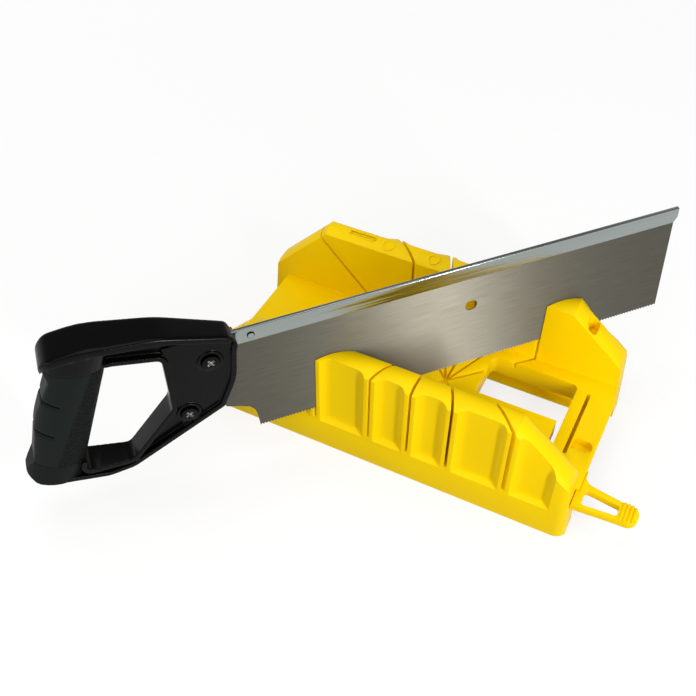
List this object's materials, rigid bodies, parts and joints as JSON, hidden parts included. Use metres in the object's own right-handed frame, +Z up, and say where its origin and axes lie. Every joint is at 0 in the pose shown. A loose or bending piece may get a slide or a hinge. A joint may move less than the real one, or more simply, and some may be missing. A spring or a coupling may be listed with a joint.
{
  "type": "mitre box with saw",
  "caption": "Moulded mitre box with slotted walls for 45, 22.5 and 90 degree cuts, a face-cut slot, a saw bay under its deck and a sprung latch, with a back saw standing in a slot.",
  "frame": {"origin": "on the bench, below the point where all the upright saw slots cross", "axes": "+X along the box towards the latch end, +Y from the front wall to the back wall, +Z up from the bench"},
  "size_m": [0.4229, 0.3779, 0.1735],
  "materials": {
    "yellow_plastic": "satin moulded",
    "blade_steel": "brushed along its length",
    "back_steel": "satin",
    "rivet_steel": "dark",
    "black_plastic": "satin moulded",
    "grip_plastic": "matt stippled",
    "screw_steel": "blackened"
  },
  "bodies": {
    "mitre_box": {"deck_tray": "yellow_plastic", "front_wall": "yellow_plastic", "back_wall": "yellow_plastic"},
    "latch": {"storage_latch": "yellow_plastic"},
    "saw": {"saw_blade": "blade_steel", "blade_back": "back_steel", "back_rivet": "rivet_steel", "saw_handle": "black_plastic", "soft_grip": "grip_plastic", "handle_screws": "screw_steel", "handle_nuts": "screw_steel"}
  },
  "joints": [
    {"name": "saw_stroke", "type": "slide", "parent": "mitre_box", "child": "saw", "axis": [0.705, 0.705, 0.0764], "range_m": [-0.075, 0.045]},
    {"name": "latch_press", "type": "hinge", "parent": "mitre_box", "child": "latch", "pos_m": [0.1332, -0.0577, 0.03], "axis": [0, 1, 0], "range_deg": [0, 10], "stiffness_Nm_per_rad": 0.6}
  ]
}
